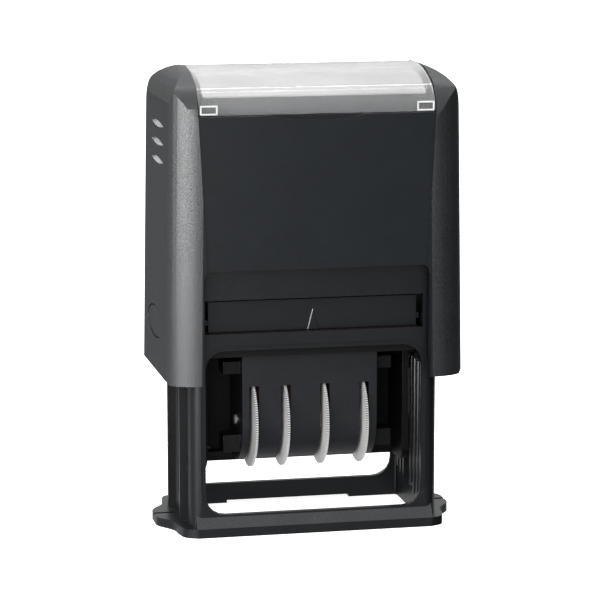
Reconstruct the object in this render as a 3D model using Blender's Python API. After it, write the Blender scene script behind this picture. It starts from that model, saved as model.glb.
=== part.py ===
"""Self-inking rotary date stamp: frame, push-down casing, ink drawer and a print unit that turns over.

Metres, +Z up, origin at the centre of the foot's underside, front towards -Y.
"""

from math import atan2, cos, hypot, pi, radians, sin

import bmesh
import bpy
from mathutils import Matrix

# ---------------------------------------------------------------- driving dimensions (metres)
GAP = 0.0003  # air between pieces that touch on the real stamp
BITE = 0.0005  # how far a joined shape reaches into its neighbour
PAST = 0.0040  # how far a cutter reaches past what it cuts

# lower frame
FRAME_WIDTH = 0.0520
FRAME_DEPTH = 0.0284
FRAME_CORNER = 0.0022
SIDE_WALL = 0.0018
FRONT_WALL = 0.0013
LEG_WIDTH = 0.0032  # beside the window
WINDOW_LOW = 0.0044
WINDOW_BRIDGE = 0.0036  # from the window up to the drawer's opening
WINDOW_RADIUS = 0.0040
REBATE = 0.0011  # wider than the window, half a millimetre deep
FLOOR_THICKNESS = 0.0016
FLOOR_AIR = 0.0016  # over the drawer
RIM_HEIGHT = 0.0049  # the walls above the spring floor
FLANGE_THICKNESS = 0.0019
FLANGE_REACH = 0.0015  # in front of and behind the walls
EAR_REACH = 0.0055  # beside the walls
RAIL_RELIEF = 0.0006  # the back rail stands on its two ends
OUTER_RIB = 0.0013
INNER_RIB = 0.0009
RIB_THICKNESS = 0.0010

# ink drawer
DRAWER_INSET = 0.0034  # from the frame's sides
DRAWER_LOW = 0.0426
DRAWER_HEIGHT = 0.0064
DRAWER_RECESS = 0.0020
DRAWER_WALL = 0.0010
DRAWER_ROOF = 0.0014
RUNNER = 0.0007  # reach of the drawer's side runners
RUNNER_RISE = 0.0014  # their underside above the drawer's

# casing
CASING_OVERHANG = 0.0052  # beyond the frame's sides
CASING_COVERAGE = 0.0034  # beyond the frame's front and back
CASING_FLOAT = 0.0018  # above the foot when pressed
HEADROOM = 0.0106  # from the pressed casing's top to the frame's
CASING_WALL = 0.0015
SIDE_DRAFT = 0.0011  # how far each side leans in from bottom to top
SHOULDER_WIDTH = 0.0070
SHOULDER_DEPTH = 0.0050
CREASE = 16  # degrees of the shoulder's arc left flat at the side
CHEEK_WIDTH = 0.0078
CHEEK_HEIGHT = 0.0081
PANEL_RECESS = 0.0004
PANEL_STEP = 0.0008  # the cut-out over the panel, each side
CUTOUT_INSET = 0.0023  # from the frame's sides
CUTOUT_RISE = 0.0068  # over the drawer
CUTOUT_RADIUS = 0.0018
GRIP_DROP = 0.0030  # the top grip mark below the cover
GRIP_PITCH = 0.0037
COVER_STEP = 0.0006  # the cover over the cut-out, each side
COVER_HEIGHT = 0.0088  # from its lower front edge to the top
COVER_WALL = 0.0014
CARD_THICKNESS = 0.0004
CREST_DEPTH = 0.0062  # the roof's round front edge
CREST_HEIGHT = 0.0066
CREST_DROP = 0.0089  # from the top to the crest's centre
DOME_DROP = 0.0046
ROOF_CROWN = 0.0009  # the roof is thicker by this in its middle

# lock buttons
BUTTON_LENGTH = 0.0170
BUTTON_HEIGHT = 0.0061
BUTTON_RISE = 0.0108  # over the casing's lower edge
BUTTON_LIP = 0.0008
BUTTON_TRAVEL = 0.0008

# print unit
DIE_TO_PIVOT = 0.00665
DIE_AIR = 0.0005  # between the printing face and the drawer
TURNING_AIR = 0.0015  # the plate to the frame's inner faces
DIE_END = 0.0002  # printing face above the paper when pressed
RUBBER_THICKNESS = 0.0014
CUSHION_THICKNESS = 0.0008
CARRIER_WALL = 0.0015
CARRIER_PLATE = 0.0024
PANEL_THICKNESS = 0.0014
PEG_RADIUS = 0.0016
GUIDE_RADIUS = 0.0013
GUIDE_OFFSET = 0.0035  # guide peg below the pivot
SLOT_PLAY = 0.0004
ARM_THICKNESS = 0.0010
ARM_HALF_WIDTH = 0.0055
YOKE_BAR = 0.0018

# date wheels and bands
WHEEL_RADIUS = 0.0101
WHEEL_THICKNESS = 0.0011
WHEEL_TEETH = 48
TOOTH_DEPTH = 0.0004
WHEEL_Y = -0.0027
WHEEL_DROP = 0.0135  # below the pivot
AXLE_RADIUS = 0.0010
DRUM_RADIUS = 0.0040
BAND_THICKNESS = 0.0009
HOOD_WIDTH = 0.0286
HOOD_WALL = 0.0012
HOOD_SHOW = 0.0012  # how far the wheels stand out below it
HOOD_SETBACK = 0.0021  # its round centre behind the wheels'
FORMER_EDGE = 0.0008
FORMER_SPREAD = 0.0009  # from the bar's middle to each rounded edge
# name, place along X, and signed width of the drum beside the toothed disc
WHEELS = (
    ("month", -0.0118, 0.0049),
    ("day_tens", -0.0051, 0.0033),
    ("day_units", 0.0032, -0.0033),
    ("year", 0.0116, -0.0065),
)

# return spring
SPRING_RADIUS = 0.0063
SPRING_WIRE = 0.00045
SPRING_TURNS = 8

# ---------------------------------------------------------------- sizes that follow from them
HALF_FRAME = FRAME_WIDTH / 2
HALF_DEPTH = FRAME_DEPTH / 2
INNER_X = HALF_FRAME - SIDE_WALL
INNER_Y = HALF_DEPTH - FRONT_WALL
WINDOW_WIDTH = FRAME_WIDTH - 2 * LEG_WIDTH
WINDOW_HIGH = DRAWER_LOW - GAP - WINDOW_BRIDGE
FLANGE_Y = HALF_DEPTH + FLANGE_REACH
EAR_X = HALF_FRAME + EAR_REACH
DRAWER_WIDTH = FRAME_WIDTH - 2 * DRAWER_INSET
DRAWER_TOP = DRAWER_LOW + DRAWER_HEIGHT
DRAWER_FRONT = HALF_DEPTH - DRAWER_RECESS
FLOOR_LOW = DRAWER_TOP + FLOOR_AIR
FLOOR_TOP = FLOOR_LOW + FLOOR_THICKNESS
FRAME_HEIGHT = FLOOR_TOP + RIM_HEIGHT
DIE_Z = DRAWER_LOW - DIE_AIR  # printing face at rest
PIVOT_Z = DIE_Z - DIE_TO_PIVOT
STROKE = DIE_Z - DIE_END - 2 * DIE_TO_PIVOT
HALF_CASING = HALF_FRAME + CASING_OVERHANG
CASING_Y = HALF_DEPTH + CASING_COVERAGE
CASING_LOW = FLANGE_THICKNESS + STROKE + CASING_FLOAT
CASING_TOP = FRAME_HEIGHT + STROKE + HEADROOM
PANEL_Y = CASING_Y - PANEL_RECESS
HALF_CUTOUT = HALF_FRAME - CUTOUT_INSET
CUTOUT_TOP = DRAWER_TOP + CUTOUT_RISE
COVER_EDGE = CASING_TOP - COVER_HEIGHT
GRIP_TOP = COVER_EDGE - GRIP_DROP
BUTTON_Z = CASING_LOW + BUTTON_RISE
PLATE_WIDTH = WINDOW_WIDTH - 2 * GAP
PLATE_DEPTH = 2 * (INNER_Y - TURNING_AIR)
HALF_CARRIER = PLATE_WIDTH / 2 - 0.0001
CUSHION_TOP = DIE_Z - RUBBER_THICKNESS - GAP
CARRIER_TOP = CUSHION_TOP - CUSHION_THICKNESS - GAP
CARRIER_UNDER = CARRIER_TOP - CARRIER_PLATE
ARM_INNER = HALF_FRAME + GAP + 0.0001
ARM_OUTER = ARM_INNER + ARM_THICKNESS
HALF_COVER = HALF_CUTOUT + COVER_STEP
ROOF_INSET = COVER_WALL + CARD_THICKNESS + 2 * GAP
HOLLOW_TOP = CASING_TOP - ROOF_INSET - CASING_WALL - ROOF_CROWN
YOKE_TOP = HOLLOW_TOP - GAP
SLOT_HALF = PEG_RADIUS + SLOT_PLAY
DEEP = CASING_Y + PAST
HALF_HOOD = HOOD_WIDTH / 2
WHEEL_Z = PIVOT_Z - WHEEL_DROP
HOOD_ROUND = WHEEL_RADIUS - HOOD_SHOW
HOOD_FRONT = WHEEL_Y + HOOD_SETBACK - HOOD_ROUND
CARRIER_LOW = WHEEL_Z - WHEEL_RADIUS - 2 * GAP + 0.00005
CARRIER_BACK = WHEEL_Y + WHEEL_RADIUS + PANEL_THICKNESS + 0.0002
BOSS_RADIUS = SPRING_RADIUS - SPRING_WIRE - 2 * GAP
BRIDGE_Z = DIE_Z - BAND_THICKNESS - GAP - 0.0001  # top of the bar under the bands
FORMER_LOW = WHEEL_Z + WHEEL_RADIUS + 2 * GAP
DATE_WINDOW = FORMER_SPREAD + FORMER_EDGE + BAND_THICKNESS + 3 * GAP  # half its depth


# ---------------------------------------------------------------- scene and helpers
def clear_scene():
    for thing in list(bpy.data.objects):
        bpy.data.objects.remove(thing, do_unlink=True)


def new_collection(name):
    made = bpy.data.collections.new(name)
    bpy.context.scene.collection.children.link(made)
    return made


clear_scene()
PARTS = new_collection("rotary_date_stamp")
CUTTERS = new_collection("cutters")
CUTTERS.hide_render = True


def plastic(name, colour, roughness, metallic=0.0, alpha=1.0):
    made = bpy.data.materials.new(name)
    made.use_nodes = True
    shader = made.node_tree.nodes["Principled BSDF"]
    shader.inputs["Base Color"].default_value = (*colour, 1.0)
    shader.inputs["Roughness"].default_value = roughness
    shader.inputs["Metallic"].default_value = metallic
    shader.inputs["Alpha"].default_value = alpha
    return made


def finish(piece, material):
    """Gives a piece its material, smooth shading with crisp edges, and its place among the parts."""
    piece.data.materials.append(material)
    piece.data.shade_smooth()
    piece.data.set_sharp_from_angle(angle=radians(35))
    return piece


def from_bmesh(name, bm):
    mesh = bpy.data.meshes.new(name)
    bm.to_mesh(mesh)
    bm.free()
    made = bpy.data.objects.new(name, mesh)
    PARTS.objects.link(made)
    return made


def box(name, low, high):
    bm = bmesh.new()
    bmesh.ops.create_cube(bm, size=1.0)
    size = [b - a for a, b in zip(low, high)]
    middle = [(a + b) / 2 for a, b in zip(low, high)]
    bmesh.ops.transform(
        bm, matrix=Matrix.Translation(middle) @ Matrix.Diagonal((*size, 1.0)), verts=bm.verts
    )
    return from_bmesh(name, bm)


AXES = {
    "X": Matrix(((0, 0, 1, 0), (1, 0, 0, 0), (0, 1, 0, 0), (0, 0, 0, 1))),
    "Y": Matrix(((1, 0, 0, 0), (0, 0, -1, 0), (0, 1, 0, 0), (0, 0, 0, 1))),
    "Z": Matrix.Identity(4),
}
ALONG = {"X": (1, 0, 0), "Y": (0, 1, 0), "Z": (0, 0, 1)}


def along(axis, distance):
    return Matrix.Translation([distance * part for part in ALONG[axis]])


def rod(name, axis, centre, radius, low, high, sides=32):
    """A cylinder along an axis. centre is its place in the other two axes."""
    bm = bmesh.new()
    bmesh.ops.create_cone(
        bm, cap_ends=True, segments=sides, radius1=radius, radius2=radius, depth=high - low
    )
    place = Matrix.Translation((centre[0], centre[1], 0))
    bmesh.ops.transform(
        bm, matrix=along(axis, (low + high) / 2) @ AXES[axis] @ place, verts=bm.verts
    )
    bmesh.ops.recalc_face_normals(bm, faces=bm.faces)
    return from_bmesh(name, bm)


def plate(name, axis, outlines, low, high):
    """A flat outline, with any holes, given thickness along an axis."""
    curve = bpy.data.curves.new(name, "CURVE")
    curve.dimensions = "2D"
    curve.fill_mode = "BOTH"
    curve.extrude = (high - low) / 2
    for outline in outlines:
        spline = curve.splines.new("POLY")
        spline.points.add(len(outline) - 1)
        for point, (u, v) in zip(spline.points, outline):
            point.co = (u, v, 0.0, 1.0)
        spline.use_cyclic_u = True
    drawn = bpy.data.objects.new(name + "_outline", curve)
    PARTS.objects.link(drawn)
    drawn.matrix_world = along(axis, (low + high) / 2) @ AXES[axis]
    bpy.context.view_layer.update()
    made = solid_from_curve(name, drawn)
    return made


def solid_from_curve(name, drawn):
    """The curve as a mesh whose caps are welded to its sides."""
    graph = bpy.context.evaluated_depsgraph_get()
    mesh = bpy.data.meshes.new_from_object(drawn.evaluated_get(graph))
    mesh.transform(drawn.matrix_world)
    bpy.data.objects.remove(drawn, do_unlink=True)
    bm = bmesh.new()
    bm.from_mesh(mesh)
    bpy.data.meshes.remove(mesh)
    bmesh.ops.remove_doubles(bm, verts=bm.verts, dist=1e-6)
    bmesh.ops.recalc_face_normals(bm, faces=bm.faces)
    return from_bmesh(name, bm)


def change(piece, tool, operation):
    """Cuts, joins or meets a piece with a tool, which goes among the cutters."""
    step = piece.modifiers.new(tool.name, "BOOLEAN")
    step.operation = operation
    step.object = tool
    if tool.name in PARTS.objects:
        PARTS.objects.unlink(tool)
        CUTTERS.objects.link(tool)
        tool.hide_render = True
        tool.display_type = "WIRE"


def cut(piece, *tools):
    for tool in tools:
        change(piece, tool, "DIFFERENCE")


def join(piece, *tools):
    for tool in tools:
        change(piece, tool, "UNION")


def meet(piece, *tools):
    for tool in tools:
        change(piece, tool, "INTERSECT")


def pair(side, near, far):
    """The two distances on one side of the middle, lowest first."""
    return sorted((side * near, side * far))


def side_at(height):
    """Half the casing's width at a height."""
    return HALF_CASING - SIDE_DRAFT * (height - CASING_LOW) / (CASING_TOP - CASING_LOW)


def drafted(piece):
    """Leans a casing-high prism's sides in towards its top."""
    for vertex in piece.data.vertices:
        vertex.co.x *= side_at(vertex.co.z) / HALF_CASING
    return piece


BUTTON_FACE = side_at(BUTTON_Z) - 0.0001


# ---------------------------------------------------------------- outlines
def arc(centre, radii, start, end, steps):
    """Points of an elliptical arc, angles in degrees."""
    angles = [radians(start + (end - start) * i / steps) for i in range(steps + 1)]
    return [(centre[0] + radii[0] * cos(a), centre[1] + radii[1] * sin(a)) for a in angles]


def ring(centre, radii, steps=32):
    return arc(centre, radii, 0, 360, steps)[:-1]


def rounded(low, high, radius, steps=5):
    """A rectangle with round corners."""
    (u0, v0), (u1, v1) = low, high
    corners = ((u1, v1, 0), (u0, v1, 90), (u0, v0, 180), (u1, v0, 270))
    points = []
    for u, v, turn in corners:
        inward_u = -radius if u == u1 else radius
        inward_v = -radius if v == v1 else radius
        points += arc((u + inward_u, v + inward_v), (radius, radius), turn, turn + 90, steps)
    return points


def mirrored(half):
    """Closes an outline drawn on the right side of the vertical axis."""
    return half + [(-u, v) for u, v in reversed(half)]


def smooth(points, steps=4):
    """A Catmull-Rom curve through points, from the first to the last."""
    ends = [points[0]] + points + [points[-1]]
    made = []
    for before, here, there, after in zip(ends, ends[1:], ends[2:], ends[3:]):
        for step in range(steps):
            t = step / steps
            made.append(
                tuple(
                    0.5 * (2 * b + (c - a) * t + (2 * a - 5 * b + 4 * c - d) * t * t
                           + (3 * b - a - 3 * c + d) * t ** 3)
                    for a, b, c, d in zip(before, here, there, after)
                )
            )
    return made + [points[-1]]


def hull(points):
    """The convex hull, anticlockwise."""
    points = sorted(set(points))

    def half(run):
        made = []
        for p in run:
            while len(made) > 1:
                (ax, ay), (bx, by) = made[-2:]
                if (bx - ax) * (p[1] - ay) - (by - ay) * (p[0] - ax) > 1e-12:
                    break
                made.pop()
            made.append(p)
        return made[:-1]

    return half(points) + half(points[::-1])


def swept(path, half_width, steps=6):
    """The outline of a slot whose round cutter follows a path."""
    left, right = [], []
    for i, (u, v) in enumerate(path):
        u0, v0 = path[max(i - 1, 0)]
        u1, v1 = path[min(i + 1, len(path) - 1)]
        length = hypot(u1 - u0, v1 - v0)
        nu, nv = -(v1 - v0) / length * half_width, (u1 - u0) / length * half_width
        left.append((u + nu, v + nv))
        right.append((u - nu, v - nv))

    def cap(end, last):
        turn = atan2(last[1] - end[1], last[0] - end[0])
        return arc(end, (half_width, half_width), turn * 180 / pi, turn * 180 / pi - 180, steps)[1:-1]

    return left + cap(path[-1], left[-1]) + right[::-1] + cap(path[0], right[0])


# ---------------------------------------------------------------- lower frame
def flange_outline():
    """Foot with straight front and back edges, lobed corners and an ear on each side."""
    corner = smooth([
        (EAR_X, 0.0026),
        (EAR_X - 0.0006, 0.0042),
        (HALF_FRAME + 0.0026, FLANGE_Y - 0.0080),
        (HALF_FRAME + 0.0021, FLANGE_Y - 0.0046),
        (HALF_FRAME + 0.0012, FLANGE_Y - 0.0014),
        (HALF_FRAME - 0.0014, FLANGE_Y),
    ])
    upper = mirrored(corner)
    return upper + [(u, -v) for u, v in reversed(upper)]


def guide_path(steps=24):
    """Where the guide peg travels in the side wall while the print unit turns over."""
    path = []
    for i in range(steps + 1):
        turn = pi * i / steps
        path.append(
            (-GUIDE_OFFSET * sin(turn), PIVOT_Z - STROKE * i / steps - GUIDE_OFFSET * cos(turn))
        )
    return path


def add_frame_ribs(frame):
    """Stiffening ribs outside, three short ribs inside, and ledges under the drawer's runners."""
    for side in (-1, 1):
        outer = pair(side, HALF_FRAME - BITE, HALF_FRAME + OUTER_RIB)
        inner = pair(side, INNER_X + BITE, INNER_X - INNER_RIB)
        for end in (-1, 1):
            along_wall = pair(end, HALF_DEPTH * 0.48, HALF_DEPTH * 0.48 + RIB_THICKNESS)
            join(frame, box(
                f"outer_rib_{side}_{end}",
                (outer[0], along_wall[0], FLANGE_THICKNESS / 2),
                (outer[1], along_wall[1], FRAME_HEIGHT - BITE),
            ))
        for number in range(3):
            middle = (0.24 + 0.18 * number) * HALF_DEPTH
            join(frame, box(
                f"inner_rib_{side}_{number}",
                (inner[0], middle - RIB_THICKNESS / 2, WINDOW_LOW + 0.0008 + 0.0012 * number),
                (inner[1], middle + RIB_THICKNESS / 2, WINDOW_HIGH * 0.50),
            ))
        ledge = pair(side, DRAWER_WIDTH / 2 - RUNNER + GAP, INNER_X + BITE)
        join(frame, box(
            f"drawer_ledge_{side}",
            (ledge[0], -INNER_Y - GAP, DRAWER_LOW + GAP),
            (ledge[1], INNER_Y + GAP, DRAWER_LOW + RUNNER_RISE - GAP),
        ))


def make_base_frame(material):
    half_window = WINDOW_WIDTH / 2
    inside = rounded((-INNER_X, -INNER_Y), (INNER_X, INNER_Y), 0.0006, 2)
    outside = rounded((-HALF_FRAME, -HALF_DEPTH), (HALF_FRAME, HALF_DEPTH), FRAME_CORNER, 5)
    frame = plate("base_frame", "Z", [outside, inside], 0.0, FRAME_HEIGHT)
    join(frame, plate("flange", "Z", [flange_outline(), inside], 0.0, FLANGE_THICKNESS))
    join(frame, box(
        "spring_floor",
        (-INNER_X - SIDE_WALL / 2, -INNER_Y - FRONT_WALL / 2, FLOOR_LOW),
        (INNER_X + SIDE_WALL / 2, INNER_Y + FRONT_WALL / 2, FLOOR_TOP),
    ))
    join(frame, rod(
        "spring_boss", "Z", (0, 0), BOSS_RADIUS, FLOOR_TOP - BITE, FLOOR_TOP + 4 * SPRING_WIRE, 24
    ))
    for side in (-1, 1):
        slope = [
            (side * (INNER_Y + 0.0001), 0.0002),
            (side * (FLANGE_Y - 0.0001), 0.0002),
            (side * (FLANGE_Y - 0.0001), FLANGE_THICKNESS),
            (side * (INNER_Y + 0.0006), WINDOW_LOW + 0.0006),
            (side * (INNER_Y + 0.0001), WINDOW_LOW + 0.0006),
        ]
        join(frame, plate(f"sill_{side}", "X", [slope], -HALF_FRAME + 0.001, HALF_FRAME - 0.001))
    add_frame_ribs(frame)
    reach = FLANGE_Y + PAST
    cut(frame, plate(
        "window", "Y",
        [rounded((-half_window, WINDOW_LOW), (half_window, WINDOW_HIGH), WINDOW_RADIUS)],
        -reach, reach,
    ))
    for side in (-1, 1):
        cut(frame, plate(
            f"window_rebate_{side}", "Y",
            [rounded((-half_window - REBATE, WINDOW_LOW + 0.0002),
                     (half_window + REBATE, WINDOW_HIGH + REBATE), WINDOW_RADIUS + REBATE)],
            *pair(side, HALF_DEPTH - BITE, reach),
        ))
    opening = DRAWER_WIDTH / 2 + GAP
    cut(frame, box(
        "drawer_opening", (-opening, -reach, DRAWER_LOW - GAP), (opening, reach, DRAWER_TOP + GAP)
    ))
    straight = [(0.0, PIVOT_Z - STROKE - SLOT_PLAY), (0.0, PIVOT_Z + SLOT_PLAY)]
    wide = HALF_FRAME + PAST
    cut(frame, plate("pivot_slot", "X", [swept(straight, SLOT_HALF)], -wide, wide))
    cut(frame, plate("guide_slot", "X", [swept(guide_path(), GUIDE_RADIUS + SLOT_PLAY)], -wide, wide))
    for side, height in ((1, WINDOW_HIGH * 0.42), (-1, WINDOW_HIGH * 0.38)):
        hole = ring((side * HALF_DEPTH * 0.67, height), (0.0007, 0.0017), 12)
        cut(frame, plate(f"moulding_hole_{side}", "X", [hole], -wide, wide))
    relief = 0.52 * HALF_FRAME
    cut(frame, box("rail_relief", (-relief, INNER_Y - 0.001, -PAST), (relief, reach, RAIL_RELIEF)))
    for side in (-1, 1):
        groove = pair(side, HALF_FRAME + OUTER_RIB + 0.0001, EAR_X + PAST)
        cut(frame, box(
            f"ear_groove_{side}", (groove[0], -BITE, FLANGE_THICKNESS - 0.0006),
            (groove[1], BITE, FLANGE_THICKNESS + PAST),
        ))
    return finish(frame, material)


def make_return_spring(material):
    low = FLOOR_TOP + SPRING_WIRE + GAP
    high = YOKE_TOP - YOKE_BAR - SPRING_WIRE - GAP
    per_turn = 12
    count = SPRING_TURNS * per_turn
    curve = bpy.data.curves.new("return_spring", "CURVE")
    curve.dimensions = "3D"
    curve.bevel_depth = SPRING_WIRE
    curve.bevel_resolution = 1
    curve.use_fill_caps = True
    spline = curve.splines.new("POLY")
    spline.points.add(count)
    flat = 2 * SPRING_WIRE + 0.0001  # pitch of the closed end turns
    rise = (high - low - 2 * flat) / (SPRING_TURNS - 2)
    for i, point in enumerate(spline.points):
        turns = i / per_turn
        height = flat * min(turns, 1) + rise * min(max(turns - 1, 0), SPRING_TURNS - 2)
        height += flat * max(turns - SPRING_TURNS + 1, 0)
        angle = 2 * pi * turns
        point.co = (SPRING_RADIUS * cos(angle), SPRING_RADIUS * sin(angle), low + height, 1.0)
    drawn = bpy.data.objects.new("return_spring_path", curve)
    PARTS.objects.link(drawn)
    bpy.context.view_layer.update()
    return finish(solid_from_curve("return_spring", drawn), material)


# ---------------------------------------------------------------- ink drawer
def make_ink_pad_tray(material):
    half = DRAWER_WIDTH / 2 - RUNNER
    tray = box(
        "ink_pad_tray", (-half, -DRAWER_FRONT, DRAWER_LOW), (half, DRAWER_FRONT, DRAWER_TOP)
    )
    runner_y = DRAWER_FRONT - BITE
    for side in (-1, 1):
        runner = pair(side, half - BITE, DRAWER_WIDTH / 2)
        low = DRAWER_LOW + RUNNER_RISE
        join(tray, box(f"runner_{side}", (runner[0], -runner_y, low), (runner[1], runner_y, low + 0.0012)))
    pocket_x, pocket_y = half - DRAWER_WALL, DRAWER_FRONT - DRAWER_WALL
    cut(tray, box(
        "pad_pocket", (-pocket_x, -pocket_y, DRAWER_LOW - PAST),
        (pocket_x, pocket_y, DRAWER_TOP - DRAWER_ROOF),
    ))
    for side in (-1, 1):
        low, high = DRAWER_LOW + 0.12 * DRAWER_HEIGHT, DRAWER_LOW + 0.80 * DRAWER_HEIGHT
        arrow = [(-0.0011, low), (0.0011, low), (0.0, high)]
        join(tray, plate(f"arrow_mark_{side}", "Y", [arrow],
                         *pair(side, DRAWER_FRONT - BITE, DRAWER_FRONT + 0.0002)))
    return finish(tray, material)


def make_ink_pad_felt(material):
    half_x = DRAWER_WIDTH / 2 - RUNNER - DRAWER_WALL - GAP
    half_y = DRAWER_FRONT - DRAWER_WALL - GAP
    felt = plate(
        "ink_pad_felt", "Z", [rounded((-half_x, -half_y), (half_x, half_y), 0.0010, 3)],
        DRAWER_LOW + 0.0001, DRAWER_TOP - DRAWER_ROOF - GAP,
    )
    return finish(felt, material)


# ---------------------------------------------------------------- casing
def plan_half(inset):
    """Right half of the casing seen from above: flat side, then a rounded shoulder."""
    centre = (HALF_CASING - SHOULDER_WIDTH, CASING_Y - SHOULDER_DEPTH)
    radii = (SHOULDER_WIDTH / cos(radians(CREASE)) - inset, SHOULDER_DEPTH - inset)
    front = arc(centre, radii, CREASE, 90, 8)
    return [(u, -v) for u, v in reversed(front)] + front


def front_half(inset, low):
    """Right half of the casing seen from the front, a hair wider than the drafted plan."""
    foot, shoulder = side_at(low) + 0.0001 - inset, side_at(CASING_TOP) + 0.0001
    centre = (shoulder - CHEEK_WIDTH, CASING_TOP - CHEEK_HEIGHT)
    cheek = arc(centre, (CHEEK_WIDTH - inset, CHEEK_HEIGHT - inset), 0, 90, 8)
    return [(foot - 0.0010, low), (foot, low + 0.0010)] + cheek


def roof_half(inset):
    """Right half of the casing's top seen from the side: steep edge, round crest, gentle dome."""
    centre = (PANEL_Y - CREST_DEPTH, CASING_TOP - CREST_DROP)
    crest = arc(centre, (CREST_DEPTH - inset, CREST_HEIGHT - inset), 12, 68, 5)
    dome = [
        (PANEL_Y * share, CASING_TOP - inset - DOME_DROP * share ** 2) for share in (0.66, 0.44, 0.22)
    ]
    return crest + dome


def side_outline(inset, low):
    edge = CASING_Y - inset
    return mirrored([(edge, low), (edge, COVER_EDGE - 0.0018)] + roof_half(inset))


def panel_outline():
    """The recessed front panel, wider at its top, running out into the cut-out below."""
    top, bottom = HALF_COVER + GAP, HALF_CUTOUT - PANEL_STEP
    return [
        (-bottom, CUTOUT_TOP - BITE), (bottom, CUTOUT_TOP - BITE),
        (top, COVER_EDGE + BITE), (-top, COVER_EDGE + BITE),
    ]


def leaf(centre, length, height, steps=6):
    """A slim leaf between two arcs, lying along the first axis."""
    points = [
        (length * (i / steps - 0.5), height / 2 * sin(pi * i / steps)) for i in range(steps + 1)
    ]
    points += [(u, -v) for u, v in reversed(points[1:-1])]
    return [(centre[0] + u, centre[1] + v) for u, v in points]


def casing_hollow(wide):
    """The space inside the casing, open below."""
    hollow_y = PANEL_Y - CASING_WALL
    shelf = COVER_EDGE - CASING_WALL - GAP
    hollow = drafted(plate("hollow", "Z", [mirrored_plan(CASING_WALL)], CASING_LOW - PAST, CASING_TOP))
    profile = [
        (hollow_y, CASING_LOW - 2 * PAST), (hollow_y, shelf), (hollow_y - 0.0022, shelf + 0.0018),
        (hollow_y - 0.0042, HOLLOW_TOP - 0.0008), (hollow_y - 0.0062, HOLLOW_TOP),
    ]
    meet(hollow, plate("hollow_side_form", "X", [mirrored(profile)], -wide, wide))
    meet(hollow, plate("hollow_front_form", "Y",
                       [mirrored(front_half(CASING_WALL, CASING_LOW - 2 * PAST))], -DEEP, DEEP))
    return hollow


def make_outer_casing(material):
    wide = HALF_CASING + PAST
    casing = drafted(plate("outer_casing", "Z", [mirrored_plan(0.0)], CASING_LOW, CASING_TOP + 0.001))
    meet(casing, plate("casing_front_form", "Y", [mirrored(front_half(0.0, CASING_LOW - 0.0001))],
                       -DEEP, DEEP))
    meet(casing, plate("casing_side_form", "X", [side_outline(0.0, CASING_LOW - 0.001)],
                       -wide, wide))
    cut(casing, casing_hollow(wide))
    recess = box("cover_recess", (-HALF_COVER - GAP, -DEEP, COVER_EDGE - GAP),
                 (HALF_COVER + GAP, DEEP, CASING_TOP + PAST))
    cut(recess, plate("roof_under_cover", "X", [side_outline(ROOF_INSET, CASING_LOW)], -wide, wide))
    cut(casing, recess)
    for side in (-1, 1):
        cut(casing, plate(f"panel_{side}", "Y", [panel_outline()], *pair(side, PANEL_Y, DEEP)))
        cut(casing, plate(f"thumb_notch_{side}", "Y", [ring((0.0, COVER_EDGE), (0.0100, 0.0013), 24)],
                          *pair(side, PANEL_Y - 0.0007, DEEP)))
    cut(casing, plate(
        "cut_out", "Y",
        [rounded((-HALF_CUTOUT, CASING_LOW - 0.02), (HALF_CUTOUT, CUTOUT_TOP), CUTOUT_RADIUS)],
        -DEEP, DEEP,
    ))
    rib_start = BUTTON_LENGTH / 2 + BUTTON_LIP + 2 * GAP
    for side in (-1, 1):
        for number in range(3):
            height = GRIP_TOP - GRIP_PITCH * number
            mark = leaf((-0.0015, height), 0.0150, 0.0013)
            cut(casing, plate(f"grip_mark_{side}_{number}", "X", [mark],
                              *pair(side, side_at(height) - BITE, wide)))
        for end in (-1, 1):
            rib_x = pair(side, ARM_INNER, HALF_CASING - CASING_WALL + BITE)
            rib_y = pair(end, rib_start, rib_start + RIB_THICKNESS)
            join(casing, box(f"guide_rib_{side}_{end}", (rib_x[0], rib_y[0], CASING_LOW + 0.001),
                             (rib_x[1], rib_y[1], COVER_EDGE - CHEEK_HEIGHT)))
        hole = ring((0.0, BUTTON_Z), (BUTTON_LENGTH / 2 + GAP, BUTTON_HEIGHT / 2 + GAP))
        cut(casing, plate(f"button_hole_{side}", "X", [hole],
                          *pair(side, side_at(BUTTON_Z) - CASING_WALL - PAST, wide)))
    return finish(casing, material)


def mirrored_plan(inset):
    right = plan_half(inset)
    return right + [(-u, v) for u, v in reversed(right)]


def roof_shell(name, outer, inner, low_edge, half_width):
    """A bent sheet that follows the casing's roof between two insets."""
    def run(inset):
        edge = PANEL_Y - inset
        right = [(edge, low_edge)] + [p for p in roof_half(inset) if p[1] > low_edge + 0.0002]
        return right + [(-u, v) for u, v in reversed(right)]

    return plate(name, "X", [run(outer) + run(inner)[::-1]], -half_width, half_width)


def make_index_cover(material):
    return finish(roof_shell("index_cover", 0.0, COVER_WALL, COVER_EDGE, HALF_COVER), material)


def make_index_card(material):
    outer = COVER_WALL + GAP
    card = roof_shell("index_card", outer, outer + CARD_THICKNESS, COVER_EDGE + 0.0012,
                      HALF_COVER - 0.0012)
    return finish(card, material)


def make_lock_button(side, material):
    name = "lock_button_left" if side < 0 else "lock_button_right"
    middle = (0.0, BUTTON_Z)
    flange_face = side_at(BUTTON_Z + BUTTON_HEIGHT) - CASING_WALL - GAP
    flange_back = ARM_OUTER + GAP + BUTTON_TRAVEL
    face = ring(middle, (BUTTON_LENGTH / 2, BUTTON_HEIGHT / 2))
    button = plate(name, "X", [face], *pair(side, flange_face - GAP, BUTTON_FACE))
    flange = ring(middle, (BUTTON_LENGTH / 2 + BUTTON_LIP, BUTTON_HEIGHT / 2 + BUTTON_LIP))
    join(button, plate(name + "_flange", "X", [flange], *pair(side, flange_back, flange_face)))
    return finish(button, material)


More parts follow.
